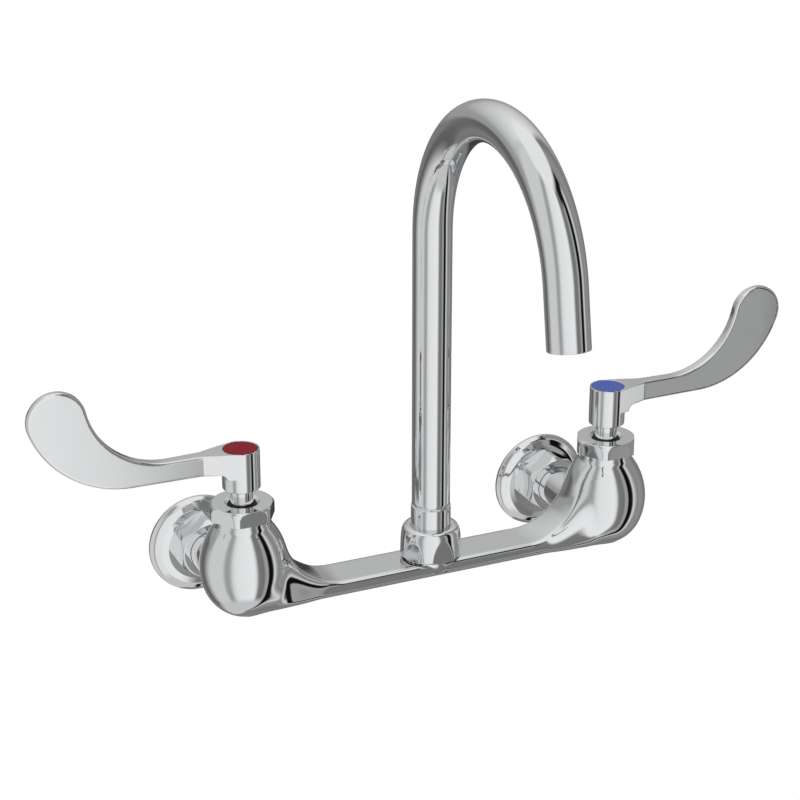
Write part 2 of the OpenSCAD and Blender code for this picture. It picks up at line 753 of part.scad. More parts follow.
valve_body();
at_hot_wall() wall_flange();  // hot_wall_flange
at_cold_wall() wall_flange();  // cold_wall_flange
at_hot_wall() union_nut();  // hot_union_nut
at_cold_wall() union_nut();  // cold_union_nut
at_hot_wall() union_ring();  // hot_union_ring
at_cold_wall() union_ring();  // cold_union_ring
at_hot_wall() union_washer();  // hot_union_washer
at_cold_wall() union_washer();  // cold_union_washer
at_hot() bonnet_nut();  // hot_bonnet_nut
at_cold() bonnet_nut();  // cold_bonnet_nut
at_hot() cartridge_shell();  // hot_cartridge_shell
at_cold() cartridge_shell();  // cold_cartridge_shell
at_hot() shell_gasket();  // hot_shell_gasket
at_cold() shell_gasket();  // cold_shell_gasket
at_hot() glide_ring();  // hot_glide_ring
at_cold() glide_ring();  // cold_glide_ring
at_hot() fixed_disc();  // hot_fixed_disc
at_cold() fixed_disc();  // cold_fixed_disc
at_hot() seat_seal();  // hot_seat_seal
at_cold() seat_seal();  // cold_seat_seal
spout_nut();
spout_washer();
at_hot() cartridge_stem();  // hot_cartridge_stem
at_cold() cartridge_stem();  // cold_cartridge_stem
at_hot() moving_disc();  // hot_moving_disc
at_cold() moving_disc();  // cold_moving_disc
at_hot() stem_orings();  // hot_stem_orings
at_cold() stem_orings();  // cold_stem_orings
at_hot() handle("silver");  // hot_handle
at_cold() handle("silver");  // cold_handle
at_hot() handle_screw();  // hot_handle_screw
at_cold() handle_screw();  // cold_handle_screw
at_hot() index_button("firebrick");  // hot_index_button
at_cold() index_button("royalblue");  // cold_index_button
gooseneck_tube();
spout_collar();
spout_orings();
spout_retaining_ring();
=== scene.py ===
# %% [markdown]
# # A chrome wall faucet with wrist blades and a gooseneck
# The faucet hangs on two supply unions. It has one cast body, two lever handles and a bent
# tube that swivels. Nearly everything that shows is chrome plate, and chrome has no colour
# of its own. It shows the room. So this lesson has three parts: forms with true curves,
# a room worth mirroring, and a finish for each way that a piece was made.
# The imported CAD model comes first, because every new piece has to sit where it says.

# %% Load the frame
import json
import math
import bpy
import numpy as np
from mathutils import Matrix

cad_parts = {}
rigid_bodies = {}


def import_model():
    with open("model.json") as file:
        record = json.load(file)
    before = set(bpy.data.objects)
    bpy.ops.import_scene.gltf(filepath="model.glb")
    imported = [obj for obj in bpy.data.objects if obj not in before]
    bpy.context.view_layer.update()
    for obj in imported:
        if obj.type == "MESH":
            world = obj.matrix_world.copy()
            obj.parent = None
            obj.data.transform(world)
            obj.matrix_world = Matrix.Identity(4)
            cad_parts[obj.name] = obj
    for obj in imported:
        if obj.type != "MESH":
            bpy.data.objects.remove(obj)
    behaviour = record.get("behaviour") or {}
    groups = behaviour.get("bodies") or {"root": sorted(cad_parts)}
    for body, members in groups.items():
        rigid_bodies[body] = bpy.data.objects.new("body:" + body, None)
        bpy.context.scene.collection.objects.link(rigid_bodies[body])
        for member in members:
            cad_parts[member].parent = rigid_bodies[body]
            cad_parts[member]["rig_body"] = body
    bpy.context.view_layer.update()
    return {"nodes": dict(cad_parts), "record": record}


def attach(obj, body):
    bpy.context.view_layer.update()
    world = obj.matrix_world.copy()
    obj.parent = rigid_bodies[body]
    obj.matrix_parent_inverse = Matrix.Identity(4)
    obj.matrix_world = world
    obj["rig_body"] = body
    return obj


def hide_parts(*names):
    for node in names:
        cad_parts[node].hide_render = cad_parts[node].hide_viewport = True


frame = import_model()

# %% [markdown]
# The sizes below are those of the part's source, in millimetres. Hot is at -X, cold at +X,
# and the wall is the plane Y = 0. Most pieces come in pairs, one for each valve, so a
# piece is drawn once round its own axis, with +X pointing to the middle of the faucet.
# Mirroring it gives the cold one. That is how the foundry does it too: one pattern, two hands.

# %% Shared places
MM = 0.001
CENTRES = 203.2
WALL_TO_AXIS = 74.0
INLET_Z = 4.3

def at_valve(side, points):
    """Points round a valve axis (+X to the middle) put in place; side is -1 hot, +1 cold."""
    return points * [-side, 1, 1] + [side * CENTRES / 2, -WALL_TO_AXIS, 0]

def at_spout(points):
    return points + [0, -WALL_TO_AXIS, 0]

def at_wall(side, points):
    """Points round a wall opening, with z as the distance in front of the wall and y up."""
    return np.stack([points[:, 0] + side * CENTRES / 2, -points[:, 2], points[:, 1]], 1)

SIDES = {"hot": -1, "cold": 1}
print("valve axes at X =", [side * CENTRES / 2 for side in SIDES.values()])

# %% [markdown]
# A mesh is points and faces. Chrome also needs true normals, since a mirror shows a normal
# that is off by half a degree. Where a piece comes from a formula, the formula gives
# the normals as well, and they are stored with the mesh.

# %% Make a mesh
def make_mesh(name, points, faces, normals=None):
    """A mesh object from points in millimetres, with its own smooth normals if given."""
    mesh = bpy.data.meshes.new(name)
    mesh.from_pydata((np.asarray(points) * MM).tolist(), [], [tuple(map(int, f)) for f in faces])
    mesh.polygons.foreach_set("use_smooth", [True] * len(mesh.polygons))
    if normals is not None:
        mesh.normals_split_custom_set_from_vertices(np.asarray(normals).tolist())
    mesh.update()
    piece = bpy.data.objects.new(name, mesh)
    bpy.context.scene.collection.objects.link(piece)
    return piece

SLOT_OF = {part["node"]: part["material_slot"] for part in frame["record"]["subparts"]}

def dress(piece, node, finish):
    """The piece takes the place and the body of a CAD node, and the finish it is given."""
    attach(piece, frame["nodes"][node]["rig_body"])
    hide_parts(node)
    piece.data.materials.append(finish)
    return piece

# %% [markdown]
# ## Finishes
# A finish is a small tree of nodes. One function adds a node, so that a tree reads like a
# parts list. Colours are written as on a screen, in sRGB hex, and turned to linear light.

# %% Node and colour helpers
def linear(hex_colour):
    """An sRGB hex colour as linear red, green, blue and alpha."""
    values = [int(hex_colour[i:i + 2], 16) / 255 for i in (1, 3, 5)]
    return [v / 12.92 if v <= 0.04045 else ((v + 0.055) / 1.055) ** 2.4 for v in values] + [1]

def add(tree, kind, sockets=None, **options):
    """Adds a node. Each socket takes a constant, or another node's output and so a link."""
    node = tree.nodes.new("ShaderNode" + kind)
    for key, value in options.items():
        setattr(node, key, value)
    for key, value in (sockets or {}).items():
        if isinstance(value, bpy.types.NodeSocket):
            tree.links.new(value, node.inputs[key])
        else:
            node.inputs[key].default_value = value
    return node

def new_finish(name):
    """An empty material, its node tree, and the point in millimetres as a texture place."""
    finish = bpy.data.materials.new(name)
    finish.use_nodes = True
    tree = finish.node_tree
    tree.nodes.clear()
    place = add(tree, "TexCoord").outputs["Object"]
    mm = add(tree, "VectorMath", {0: place, "Scale": 1 / MM}, operation="SCALE")
    return finish, tree, mm.outputs[0]

print("mid grey as linear light:", round(linear("#808080")[0], 3))

# %% [markdown]
# ### Chrome plate on brass
# Decorative chrome is a quarter of a micrometre of chromium over nickel. It
# mirrors about 65 to 70 % of the light, a little cool. What differs from piece to piece is the
# brass under it. A casting is linished and buffed by hand, so it keeps a slow waviness,
# some 10 mm long. A drawn tube is buffed round. A turned nut keeps fine rings from the
# lathe. The plate evens these out, so each is very faint, and the roughness is low. One
# function makes all four finishes, because they differ only in that pattern.

# %% Chrome finishes
CHROME = "#E3E4E5"
SMEAR_MM = 6

def chrome_finish(name, wave_mm, wave_depth_mm, haze):
    """Chrome over brass whose skin waves over wave_mm, wave_depth_mm deep."""
    finish, tree, mm = new_finish(name)
    waves = add(tree, "TexNoise", {"Vector": mm, "Scale": 1 / wave_mm, "Detail": 1.5})
    smears = add(tree, "TexNoise", {"Vector": mm, "Scale": 1 / SMEAR_MM, "Detail": 4.0, "Roughness": 0.6})
    gloss = add(tree, "MapRange", {"Value": smears.outputs["Fac"], "From Min": 0.35, "From Max": 0.7,
                                   "To Min": haze, "To Max": haze * 1.6})
    bump = add(tree, "Bump", {"Height": waves.outputs["Fac"], "Strength": 1.0,
                              "Distance": wave_depth_mm * MM})
    surface = add(tree, "BsdfPrincipled", {"Base Color": linear(CHROME), "Metallic": 1.0,
                                           "Roughness": gloss.outputs["Result"],
                                           "Normal": bump.outputs["Normal"]})
    add(tree, "OutputMaterial", {"Surface": surface.outputs[0]})
    return finish

cast_chrome = chrome_finish("chrome_on_buffed_casting", 11, 0.008, haze=0.035)
lever_chrome = chrome_finish("chrome_on_forged_lever", 14, 0.006, haze=0.05)
turned_chrome = chrome_finish("chrome_on_turned_brass", 7, 0.003, haze=0.045)
tube_chrome = chrome_finish("chrome_on_drawn_tube", 16, 0.003, haze=0.03)
print("chrome finishes:", [m.name for m in bpy.data.materials])

# %% [markdown]
# ### The other finishes
# The inner pieces show only when the faucet is taken apart, yet each gets its own finish.
# They are brass cut on a lathe, stainless steel, alumina ceramic, black nitrile rubber, and
# acetal plastic in black and white. The two index buttons are moulded plastic, dark red for
# hot and blue for cold, with the soft gloss of a mould that was sand-blasted lightly.

# %% Metal, ceramic, rubber and plastic
MOTTLE = 0.06

def plain_finish(name, colour, metallic, rough, grain_mm, grain_depth_mm, ior=1.5):
    """A solid material with a fine grain: its colour and roughness vary a little with it."""
    finish, tree, mm = new_finish(name)
    grain = add(tree, "TexNoise", {"Vector": mm, "Scale": 1 / grain_mm, "Detail": 3.0})
    darker = [c * (1 - 2 * MOTTLE) for c in linear(colour)[:3]] + [1]
    shade = add(tree, "MixRGB", {"Fac": grain.outputs["Fac"], "Color1": darker, "Color2": linear(colour)})
    gloss = add(tree, "MapRange", {"Value": grain.outputs["Fac"],
                                   "To Min": rough * 0.85, "To Max": rough * 1.15})
    bump = add(tree, "Bump", {"Height": grain.outputs["Fac"], "Strength": 1.0,
                              "Distance": grain_depth_mm * MM})
    surface = add(tree, "BsdfPrincipled", {"Base Color": shade.outputs["Color"], "Metallic": metallic,
                                           "IOR": ior, "Roughness": gloss.outputs["Result"],
                                           "Normal": bump.outputs["Normal"]})
    add(tree, "OutputMaterial", {"Surface": surface.outputs[0]})
    return finish

FINISHES = {
    "brass": plain_finish("turned_brass", "#C9A765", 1.0, 0.28, 0.6, 0.002),
    "stainless": plain_finish("stainless_steel", "#B9B7B2", 1.0, 0.25, 0.8, 0.002),
    "ceramic": plain_finish("alumina_ceramic", "#E9E6DE", 0.0, 0.25, 0.5, 0.001, ior=1.76),
    "rubber_seal": plain_finish("nitrile_rubber", "#1B1B1C", 0.0, 0.6, 0.4, 0.004, ior=1.52),
    # Black acetal is the glide ring's own colour. Where the ring shows under the bonnet nuts, its black
    # also stands in for the shade round the stem, as painted shade.
    "black_acetal": plain_finish("black_acetal", "#060607", 0.0, 0.5, 0.5, 0.002, ior=1.4),
    "white_acetal": plain_finish("white_acetal", "#E4E4E1", 0.0, 0.4, 0.5, 0.002, ior=1.48),
    "red_index": plain_finish("red_moulded_index", "#86041A", 0.0, 0.5, 0.7, 0.006, ior=1.2),
    "blue_index": plain_finish("blue_moulded_index", "#4A60AE", 0.0, 0.5, 0.7, 0.006, ior=1.2),
    "chrome_casting": cast_chrome,
    "chrome_lever": lever_chrome,
    "chrome_turned": turned_chrome,
    "chrome_tube": tube_chrome,
}
for node, slot_name in SLOT_OF.items():
    slots = frame["nodes"][node].data.materials
    slots.clear()
    slots.append(FINISHES[slot_name])
print("finishes:", len(FINISHES))

# %% [markdown]
# ## The cast body
# The body is one brass casting: two bulbs, a flattened bar, two shanks and the spout boss, run
# into each other with foundry fillets. Separate meshes pushed through each other would
# show a seam at every join. So the casting is written as a distance: a function
# that says for any point how far the nearest skin is, less than zero inside.
# Two distances join by taking the smaller, and a softened choice gives the fillet.

# %% Distances and how they join
def blend_union(a, b, fillet):
    """The union of two distances, with a soft fillet where they meet."""
    h = np.maximum(fillet - np.abs(a - b), 0) / fillet
    return np.minimum(a, b) - h * h * fillet / 4

def round_and(a, b, radius):
    """The common part of two distances, with their shared edge rounded to a radius."""
    u, v = np.maximum(radius + a, 0), np.maximum(radius + b, 0)
    return np.minimum(-radius, np.maximum(a, b)) + np.hypot(u, v)

def eased(share):
    """Zero to one with a soft start and a soft end."""
    share = np.clip(share, 0, 1)
    return share * share * (3 - 2 * share)

def bore(r, z, radius, low, high):
    """A round hole between two heights, as a distance."""
    return np.maximum(r - radius, np.maximum(low - z, z - high))

# %% [markdown]
# A bulb is turned from three arcs: one above the widest ring, one a little rounder below it and
# a shallow cap underneath. A short straight neck stands on top, where the bonnet nut seats.

# %% Bulb
BULB_R, BULB_Z, UPPER_ARC_R, LOWER_ARC_R = 22.1, 20.0, 35.0, 34.0
CAP_EDGE_R, CAP_ARC_R = 11.8, 30.0
CAP_SOFT = 5.0
NECK_R, THREAD_R, NECK_FILLET = 13.6, 12.8, 0.8
neck_z = BULB_Z + math.sqrt(UPPER_ARC_R ** 2 - (UPPER_ARC_R - BULB_R + NECK_R) ** 2)
BONNET_Z = neck_z + 3.9
SEAT_Z = BONNET_Z + 2.3
cap_edge_z = BULB_Z - math.sqrt(LOWER_ARC_R ** 2 - (LOWER_ARC_R - BULB_R + CAP_EDGE_R) ** 2)
cap_z = cap_edge_z + math.sqrt(CAP_ARC_R ** 2 - CAP_EDGE_R ** 2)

def bulb(r, z):
    upper = np.hypot(r - BULB_R + UPPER_ARC_R, z - BULB_Z) - UPPER_ARC_R
    lower = np.hypot(r - BULB_R + LOWER_ARC_R, z - BULB_Z) - LOWER_ARC_R
    cap = np.hypot(r, z - cap_z) - CAP_ARC_R
    side = np.where(z > BULB_Z, upper, round_and(lower, cap, CAP_SOFT))
    neck = bore(r, z, NECK_R, BULB_Z, BONNET_Z)
    thread = bore(r, z, THREAD_R, BULB_Z, SEAT_Z)
    return np.minimum(blend_union(np.maximum(side, z - BONNET_Z), neck, NECK_FILLET), thread)

print("neck begins at", round(neck_z, 2), "and the nut seats at", round(BONNET_Z, 2))

# %% [markdown]
# The bar is a D lying on its face: a flat top, two rounded long edges and a shallow belly.
# It is a thin lens with a circle rolled round it, which is one distance less
# the circle's radius. Towards a bulb the top climbs in one hollow curve, and its long
# edges grow rounder as they climb. So the bar opens like a trumpet where it meets the bulb.

# %% Bar that climbs to the bulbs
BAR_HALF, BAR_TOP, BAR_EDGE_R, BELLY_R = 12.9, 5.5, 3.6, 17.5
CLIMB_R, CLIMB_RUN, CLIMB_EDGE_R, CLIMB_TOP = 36.0, 50.0, 8.0, 34.0

def bar(u, y, z):
    """The distance to the bar, with u measured from the valve axis to the middle."""
    half, flat_z = BAR_HALF - BAR_EDGE_R, BAR_TOP - BAR_EDGE_R
    radius = BELLY_R - BAR_EDGE_R
    belly_z = flat_z + math.sqrt(radius ** 2 - half ** 2)
    y = np.abs(y)
    belly = np.hypot(y, z - belly_z) - radius
    corner = np.hypot(y - half, z - flat_z)
    beyond = (y > half) & ((z - belly_z) * half > -y * (belly_z - flat_z))
    below = np.where(beyond, corner, np.maximum(z - flat_z, belly)) - BAR_EDGE_R
    climb_z, ahead = BAR_TOP + CLIMB_R, np.maximum(CLIMB_RUN - u, 0)
    top = CLIMB_R - np.where(z < climb_z, np.hypot(ahead, z - climb_z), ahead)
    share = np.clip(ahead / CLIMB_R, 0, 1)
    edge_r = BAR_EDGE_R + (CLIMB_EDGE_R - BAR_EDGE_R) * share ** 1.5
    above = round_and(top, y - BAR_HALF, edge_r)
    return np.maximum(np.where(z < flat_z, below, above), np.maximum(z - CLIMB_TOP, -u))

# %% [markdown]
# The foot of each bulb leans a few millimetres into the bar, and the fillet between the two
# grows with the distance from the bulb. That gives the broad flares beside the bulbs.
# The water ways are drilled after casting: the inlet through the shank, the chamber of the
# cartridge, a ring channel round it and one passage along the bar. They hardly show, but
# a body that is hollow where it should be also looks right when the nuts are off.

# %% The whole casting
SHANK_R, SHANK_START, SHANK_END, SHANK_FILLET = 11.0, 7.4, 12.0, 3.0
INLET_BORE_R = 5.2
FOOT_LEAN, FOOT_TOP, FOOT_START, FOOT_RUN = 6.4, 16.0, 1.0, 15.0
FLARE_MIN, FLARE_GROWTH, FLARE_START, FLARE_RUN = 3.0, 20.0, 8.0, 30.0
FLARE_TOP, FLARE_RISE = 36.0, 28.0
BOSS_R, BOSS_TOP, BOSS_THREAD_R, BOSS_THREAD_TOP = 12.7, 6.5, 12.2, 15.5
BOSS_EDGE_R, BOSS_FILLET, BOSS_FLOOR = 0.4, 0.8, 2.0
COLLAR_R, COLLAR_PLAY = 10.2, 0.08
FLOOR_Z = SEAT_Z - 27
CHAMBER_R, SEAT_HOLE_R = 10.55, 5.5
CHANNEL_R, SEAT_POST_R, CHANNEL_LOW, CHANNEL_HIGH = 13.0, 8.5, FLOOR_Z - 5, FLOOR_Z + 14
PASSAGE_HALF, PASSAGE_R, PASSAGE_Z, PASSAGE_START = 5.3, 2.2, 1.1, 8.6
GROOVE_Y, GROOVE_HALF, GROOVE_R = 19.2, 0.8, 9.9

def casting(p):
    """The distance to the skin of the cast body, at points p in millimetres."""
    x, y, z = p[:, 0], p[:, 1] + WALL_TO_AXIS, p[:, 2]
    u = CENTRES / 2 - np.abs(x)
    r, r_spout, r_shank = np.hypot(u, y), np.hypot(x, y), np.hypot(u, z - INLET_Z)
    lean = FOOT_LEAN * eased((FOOT_TOP - z) / FOOT_RUN) * eased((u - FOOT_START) / FOOT_RUN)
    shank = bore(r_shank, y, SHANK_R, SHANK_START, WALL_TO_AXIS - SHANK_END)
    skin = blend_union(bulb(np.hypot(u - lean, y), z), shank, SHANK_FILLET)
    flare = eased((u - FLARE_START) / FLARE_RUN) * eased((FLARE_TOP - z) / FLARE_RISE)
    skin = blend_union(skin, bar(u, y, z), FLARE_MIN + FLARE_GROWTH * flare)
    boss = bore(r_spout, z, BOSS_R, 0, BOSS_TOP)
    skin = blend_union(skin, round_and(boss, z - BOSS_TOP, BOSS_EDGE_R), BOSS_FILLET)
    skin = np.minimum(skin, bore(r_spout, z, BOSS_THREAD_R, 0, BOSS_THREAD_TOP))
    passage = np.hypot(np.maximum(np.abs(y) - PASSAGE_HALF, 0), z - PASSAGE_Z)
    hollow = [
        bore(r_shank, y, INLET_BORE_R, 0, WALL_TO_AXIS),
        bore(r, z, SEAT_HOLE_R, INLET_Z, SEAT_Z),
        bore(r, z, CHAMBER_R, FLOOR_Z, SEAT_Z + 1),
        np.maximum(bore(r, z, CHANNEL_R, CHANNEL_LOW, CHANNEL_HIGH), SEAT_POST_R - r),
        bore(passage, u, PASSAGE_R, PASSAGE_START, CENTRES),
        bore(r_spout, z, COLLAR_R + COLLAR_PLAY, BOSS_FLOOR, BOSS_THREAD_TOP + 1),
        np.maximum(np.abs(y - WALL_TO_AXIS + GROOVE_Y) - GROOVE_HALF, GROOVE_R - r_shank)]
    for hole in hollow:
        skin = np.maximum(skin, -hole)
    return skin

# %% [markdown]
# A distance becomes a mesh by laying a grid over it. Each grid cell that the skin passes
# through gets one point, the mean of where its edges are cut. Joining the points of
# neighbouring cells gives a net of squares, one for each grid edge that the skin cuts.

# %% Grid, points and squares
CORNERS = [(i, j, k) for i in (0, 1) for j in (0, 1) for k in (0, 1)]
CELL_EDGES = [(a, b) for a in CORNERS for b in CORNERS if a < b and sum(np.abs(np.subtract(a, b))) == 1]

def sampled(distance, low, high, cell):
    """The distance at every point of a grid over a box, and never quite zero."""
    count = np.ceil((high - low) / cell).astype(int) + 1
    lines = [low[i] + cell * np.arange(count[i]) for i in range(3)]
    field = np.empty(count, np.float32)
    sheet = np.stack(np.meshgrid(lines[1], lines[2], indexing="ij"), -1).reshape(-1, 2)
    for i, x in enumerate(lines[0]):
        field[i] = distance(np.column_stack([np.full(len(sheet), x), sheet])).reshape(count[1:])
    field[field == 0] = 1e-6
    return field

def cut_means(field, cells, low, cell):
    """For each cell the mean of the places where the skin cuts its edges."""
    total, cuts = np.zeros((len(cells), 3)), np.zeros(len(cells))
    for a, b in CELL_EDGES:
        fa, fb = field[tuple((cells + a).T)], field[tuple((cells + b).T)]
        cut = (fa < 0) != (fb < 0)
        share = np.where(cut, fa / np.where(cut, fa - fb, 1), 0)
        total += cut[:, None] * (cells + a + share[:, None] * np.subtract(b, a))
        cuts += cut
    return low + cell * total / cuts[:, None]

def squares(inside, number):
    """The squares of the net, each with the numbers of the four cells round a cut edge."""
    faces = []
    for axis in range(3):
        b, c = (axis + 1) % 3, (axis + 2) % 3
        change = inside != np.roll(inside, -1, axis)
        change[tuple(slice(-1, None) if i == axis else slice(None) for i in range(3))] = False
        edges = np.argwhere(change)
        edges = edges[(edges[:, b] > 0) & (edges[:, c] > 0)]
        ring = []
        for db, dc in ((1, 1), (0, 1), (0, 0), (1, 0)):
            at = edges.copy()
            at[:, b] -= db
            at[:, c] -= dc
            ring.append(number[tuple(at.T)])
        ring = np.stack(ring, 1)
        out = inside[tuple(edges.T)]
        faces += [ring[out], ring[~out][:, ::-1]]
    return np.concatenate(faces)

print("a grid cell has", len(CORNERS), "corners and", len(CELL_EDGES), "edges")

# %% [markdown]
# Each point then slides down the slope of the distance until it lies on the skin. That slope
# is also the normal there, so the net looks smooth even where its squares are coarse.

# %% Net on the skin
def slope(distance, p, step=0.02):
    """The slope of a distance at points p: its normals, where it is a true distance."""
    offsets = np.eye(3) * step
    return np.stack([distance(p + o) - distance(p - o) for o in offsets], 1) / (2 * step)

def skin_net(distance, low, high, cell):
    """A closed net of quads on the zero of a distance, inside a box: points, faces, normals."""
    low, high = np.asarray(low, float), np.asarray(high, float)
    field = sampled(distance, low, high, cell)
    inside = field < 0
    size = np.array(field.shape) - 1
    filled = sum(inside[i:size[0] + i, j:size[1] + j, k:size[2] + k].astype(int) for i, j, k in CORNERS)
    crossed = (filled > 0) & (filled < len(CORNERS))
    cells = np.argwhere(crossed)
    number = np.full(crossed.shape, -1)
    number[crossed] = np.arange(len(cells))
    points = cut_means(field, cells, low, cell)
    for _ in range(4):
        grad = slope(distance, points)
        move = distance(points)[:, None] * grad / np.maximum((grad ** 2).sum(1), 0.2)[:, None]
        points -= np.clip(move, -cell / 2, cell / 2)
    grad = slope(distance, points)
    normals = grad / np.maximum(np.linalg.norm(grad, axis=1), 1e-9)[:, None]
    return points, squares(inside, number), normals

body_cell = 0.85
body_edge = CENTRES / 2 + BULB_R + 1.5
body_low, body_high = (-body_edge, -98, -8), (body_edge, -10, 52)
points, faces, normals = skin_net(casting, body_low, body_high, body_cell)
dress(make_mesh("cast_body", points, faces, normals), "valve_body", cast_chrome)
print("cast body:", len(points), "points")

# %% [markdown]
# ## The wrist blades
# A handle is forged in one piece: a round hub over the stem, an arm flush with the top
# of the hub, and a paddle that swings up to a round tip. Seen from the side, its outline is
# made of arcs that run into each other. From above it is a flare that touches the hub, a
# crease, and an even taper to the tip. The common part of the two, with every edge rounded,
# is the blade. The edge radius grows from the crisp hub rim to the softer paddle.

# %% Outlines of a blade
HUB_R, HUB_Z = 9.35, 61.86
HUB_TOP = HUB_Z + 20.6
ARM_Z = HUB_TOP - 10.3
TIP = np.array([88.8, ARM_Z + 38.9])
TIP_R, UNDER_R, OVER_R, FILLET_R = 14.2, 49.9, 38.6, 3.0
CREASE, TIP_HALF = np.array([20.0, 4.0]), 1.9
INSIDE_HUB = -14

def arc(centre, radius, start, end, steps=40):
    turn = np.radians(np.linspace(start, end, steps))
    return np.stack([centre[0] + radius * np.cos(turn), centre[1] + radius * np.sin(turn)], 1)

def bearing(a, b):
    return math.degrees(math.atan2(b[1] - a[1], b[0] - a[0]))

under = np.array([0, ARM_Z + UNDER_R])
under[0] = TIP[0] - math.sqrt((UNDER_R - TIP_R) ** 2 - (TIP[1] - under[1]) ** 2)
over = np.array([0, HUB_TOP + OVER_R])
over[0] = TIP[0] - math.sqrt((OVER_R + TIP_R) ** 2 - (TIP[1] - over[1]) ** 2)
side_outline = np.concatenate([
    [[INSIDE_HUB, HUB_TOP], [INSIDE_HUB, ARM_Z - FILLET_R]],
    arc((HUB_R + FILLET_R, ARM_Z - FILLET_R), FILLET_R, 180, 90, 12),
    arc(under, UNDER_R, -90, bearing(under, TIP)),
    arc(TIP, TIP_R, bearing(under, TIP), 180 + bearing(over, TIP), 60),
    arc(over, OVER_R, bearing(over, TIP), -90)])
touch = math.radians(bearing((0, 0), CREASE)) + math.acos(HUB_R / np.linalg.norm(CREASE))
flare = [HUB_R * np.array([math.cos(touch), math.sin(touch)]), CREASE,
         [TIP[0] + TIP_R + 1, TIP_HALF]]
top_outline = np.array([[0, -1]] + [[a, -b] for a, b in flare] + flare[::-1] + [[0, 1]])
print("blade reaches", round(TIP[0] + TIP_R, 1), "mm out and", round(TIP[1] + TIP_R, 1), "mm up")

# %% Distance to an outline, and the handle
def outline_distance(a, b, corners):
    """The distance in a plane from points (a, b) to a closed outline, negative inside."""
    best, inside = np.full(a.shape, 1e9), np.zeros(a.shape, bool)
    for (x0, y0), (x1, y1) in zip(corners, np.roll(corners, -1, 0)):
        dx, dy = x1 - x0, y1 - y0
        share = np.clip(((a - x0) * dx + (b - y0) * dy) / max(dx * dx + dy * dy, 1e-12), 0, 1)
        best = np.minimum(best, (a - x0 - share * dx) ** 2 + (b - y0 - share * dy) ** 2)
        if dy:
            inside ^= ((y0 > b) != (y1 > b)) & (a < x0 + (b - y0) * dx / dy)
    return np.where(inside, -1, 1) * np.sqrt(best)

STEM_R, STEM_HOLE_R, SCREW_R, INDEX_R, INDEX_T = 5.7, 5.75, 2.2, 8.36, 1.2
CRISP_R, SOFT_GROWTH, SOFT_RUN = 0.35, 1.05, 14
HUB_FOOT_R = 0.7
# Radius, low end and high end of each hole up the hub: the stem, its spline, the screw, the
# screw's head and the index button.
HUB_HOLES = [(STEM_HOLE_R, HUB_Z - 1, HUB_Z + 0.6), (4.05, HUB_Z, HUB_Z + 12.6), (SCREW_R, HUB_Z, HUB_TOP),
             (4.6, HUB_Z + 14.6, HUB_TOP), (INDEX_R + 0.05, HUB_TOP - INDEX_T, HUB_TOP + 1)]

def handle(p):
    """The distance to a handle that points along -X, as the hot one does."""
    u, y, z = -p[:, 0], p[:, 1], p[:, 2]
    r = np.hypot(u, y)
    edge_r = CRISP_R + SOFT_GROWTH * eased((u - HUB_R) / SOFT_RUN)
    plan = np.minimum(r - HUB_R, outline_distance(u, y, top_outline))
    blade = round_and(outline_distance(u, z, side_outline), plan, edge_r)
    hub = round_and(bore(r, z, HUB_R, HUB_Z, HUB_TOP - 3), HUB_Z - z, HUB_FOOT_R)
    skin = np.minimum(blade, hub)
    for radius, low, high in HUB_HOLES:
        skin = np.maximum(skin, -bore(r, z, radius, low, high))
    return skin

handle_cell = 0.6
handle_low = (-TIP[0] - TIP_R - 1.5, -11, HUB_Z - 1.5)
handle_high = (11, 11, TIP[1] + TIP_R + 1.5)
points, faces, normals = skin_net(handle, handle_low, handle_high, handle_cell)
for name, side in SIDES.items():
    made = make_mesh(name + "_blade_handle", at_valve(side, points),
                     faces if side < 0 else faces[:, ::-1], normals * [-side, 1, 1])
    dress(made, name + "_handle", lever_chrome)
print("each handle:", len(points), "points")

# %% [markdown]
# ## Turned pieces
# Everything round is turned on a lathe: a profile, drawn once, swung round an axis. A real
# lathe hand breaks each sharp corner, and that thin rounded edge is what catches the light.
# So each corner of a profile carries a radius, and the arc that replaces it brings
# its own normals. The flats beside it stay truly flat.

# %% Lathe
def softened(corners, steps=5):
    """A profile of (radius, height, edge radius) with each corner rounded: points and normals."""
    corners = np.array(corners, float)
    points, normals = [], []
    for i, (a, b, edge_r) in enumerate(corners):
        here = np.array([a, b])
        back = corners[i - 1, :2] - here if i else None
        ahead = corners[i + 1, :2] - here if i + 1 < len(corners) else None
        to_back = back / np.linalg.norm(back) if back is not None else None
        to_ahead = ahead / np.linalg.norm(ahead) if ahead is not None else None
        n_in = np.array([-to_back[1], to_back[0]]) if back is not None else None
        n_out = np.array([to_ahead[1], -to_ahead[0]]) if ahead is not None else None
        if back is None or ahead is None or edge_r == 0:
            for n in (n_in, n_out):
                if n is not None:
                    points.append(here)
                    normals.append(n)
            continue
        half = math.acos(np.clip(-to_back @ to_ahead, -1, 1)) / 2
        if half < 1e-3:
            points.append(here)
            normals.append(n_out)
            continue
        room = 0.48 * min(np.linalg.norm(back), np.linalg.norm(ahead))
        run = min(edge_r * math.tan(half), room)
        radius = run / max(math.tan(half), 1e-6)
        turn = np.sign(to_back[1] * to_ahead[0] - to_back[0] * to_ahead[1])
        centre = here + to_back * run - turn * n_in * radius
        for share in np.linspace(0, 1, steps):
            n = n_in * math.sin((1 - share) * 2 * half) + n_out * math.sin(share * 2 * half)
            n /= np.linalg.norm(n)
            points.append(centre + turn * n * radius)
            normals.append(n)
    return np.array(points), np.array(normals)

def band(row, after, around):
    """The faces between two rows of points that each go round."""
    a = np.arange(around)
    b = (a + 1) % around
    return np.stack([row * around + a, row * around + b, after * around + b, after * around + a], 1)

